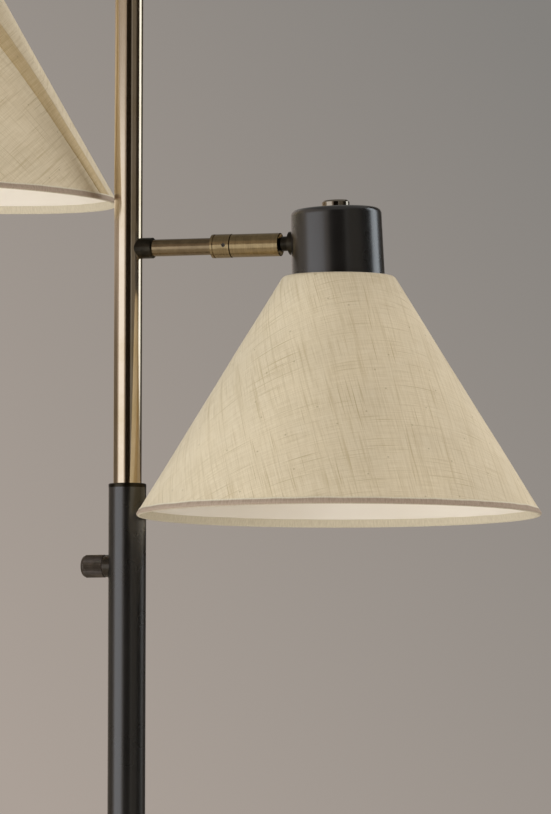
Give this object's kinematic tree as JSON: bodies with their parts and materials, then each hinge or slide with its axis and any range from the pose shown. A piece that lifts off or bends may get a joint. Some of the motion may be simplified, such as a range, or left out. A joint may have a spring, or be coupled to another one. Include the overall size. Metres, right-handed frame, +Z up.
{
  "type": "tension pole lamp",
  "caption": "Floor-to-ceiling pole lamp with swivelling, tilting heads on short arms, cone fabric shades, a rotary switch and a sprung top.",
  "frame": {"origin": "on the floor, under the pole's axis", "axes": "+Z up along the pole, +X along the lower arm, +Y to the back, where the cord leaves"},
  "size_m": [0.5742, 0.2809, 2.4403],
  "materials": {
    "satin_black": "satin black powder coat",
    "black_casting": "satin black enamel on cast iron",
    "antique_brass": "polished, lacquered and slightly tarnished",
    "dark_bronze": "dark bronze, satin",
    "nickel": "bright nickel plate",
    "dark_nickel": "polished dark nickel plate",
    "steel": "turned steel",
    "linen": "natural linen on a stiff backing",
    "white_lining": "white styrene film, matt",
    "rubber": "matt black rubber",
    "nylon": "natural nylon",
    "phenolic": "black-brown phenolic, moulded",
    "cable_pvc": "black PVC sheath",
    "frosted_glass": "frosted white glass"
  },
  "bodies": {
    "pole": {"foot_pad": "rubber", "foot_plate": "black_casting", "foot_screw": "steel", "base_pole": "satin_black", "cord_grommet": "rubber", "mains_cable": "cable_pvc", "middle_pole": "satin_black", "pole_sleeves": "steel", "switch_housing": "satin_black", "switch_body": "phenolic", "switch_nut": "nickel", "reducing_bush": "dark_bronze", "brass_tube": "antique_brass", "upper_tube": "antique_brass", "guide_bush": "nylon", "lock_collar": "antique_brass", "arm_studs": "steel", "arm_collars": "dark_bronze", "swivel_rings": "antique_brass", "swivel_screws": "steel", "lamp_wires": "cable_pvc", "right_arm_tube": "antique_brass", "left_arm_tube": "antique_brass"},
    "extension": {"extension_tube": "antique_brass", "spring_stop": "steel", "tension_spring": "steel", "end_bush": "nylon"},
    "plunger": {"plunger_rod": "nickel", "pad_plate": "steel", "ceiling_pad": "rubber"},
    "thumbscrew": {"lock_screw": "antique_brass"},
    "knob": {"switch_shaft": "steel", "switch_knob": "dark_bronze"},
    "right_swivel": {"right_ball_barrel": "antique_brass"},
    "right_head": {"right_ball_neck": "dark_bronze", "right_neck_nut": "steel", "right_socket_cup": "satin_black", "right_top_nut": "dark_nickel", "right_nipple": "steel", "right_socket": "phenolic", "right_shade_nut": "phenolic", "right_shade_frame": "nickel", "right_shade_linen": "linen", "right_shade_lining": "white_lining", "right_bulb": "frosted_glass", "right_head_wire": "cable_pvc"},
    "left_swivel": {"left_ball_barrel": "antique_brass"},
    "left_head": {"left_ball_neck": "dark_bronze", "left_neck_nut": "steel", "left_socket_cup": "satin_black", "left_top_nut": "dark_nickel", "left_nipple": "steel", "left_socket": "phenolic", "left_shade_nut": "phenolic", "left_shade_frame": "nickel", "left_shade_linen": "linen", "left_shade_lining": "white_lining", "left_bulb": "frosted_glass", "left_head_wire": "cable_pvc"}
  },
  "joints": [
    {"name": "height_slide", "type": "slide", "parent": "pole", "child": "extension", "axis": [0, 0, 1], "range_m": [-0.05, 0.3]},
    {"name": "plunger_slide", "type": "slide", "parent": "extension", "child": "plunger", "axis": [0, 0, 1], "range_m": [-0.035, 0], "stiffness_N_per_m": 3000, "springref_m": 0.02, "deforming": ["tension_spring"]},
    {"name": "thumbscrew_turn", "type": "hinge", "parent": "pole", "child": "thumbscrew", "pos_m": [0, 0.0135, 2.2053], "axis": [0, 1, 0], "range_deg": [0, 720]},
    {"name": "switch_turn", "type": "hinge", "parent": "pole", "child": "knob", "pos_m": [-0.0151, 0, 1.249], "axis": [-1, 0, 0], "continuous": true},
    {"name": "right_swivel", "type": "hinge", "parent": "pole", "child": "right_swivel", "pos_m": [0.0742, 0, 1.462], "axis": [1, 0, 0], "range_deg": [-170, 170]},
    {"name": "right_tilt", "type": "hinge", "parent": "right_swivel", "child": "right_head", "pos_m": [0.10182, 0, 1.462], "axis": [0, -1, 0], "range_deg": [0, 10.2]},
    {"name": "left_swivel", "type": "hinge", "parent": "pole", "child": "left_swivel", "pos_m": [-0.07398, 0.00569, 1.6837], "axis": [-0.9971, 0.0767, 0], "range_deg": [-170, 170]},
    {"name": "left_tilt", "type": "hinge", "parent": "left_swivel", "child": "left_head", "pos_m": [-0.10153, 0.00781, 1.6837], "axis": [0.0767, 0.9971, 0], "range_deg": [-2.4, 10.6]}
  ]
}
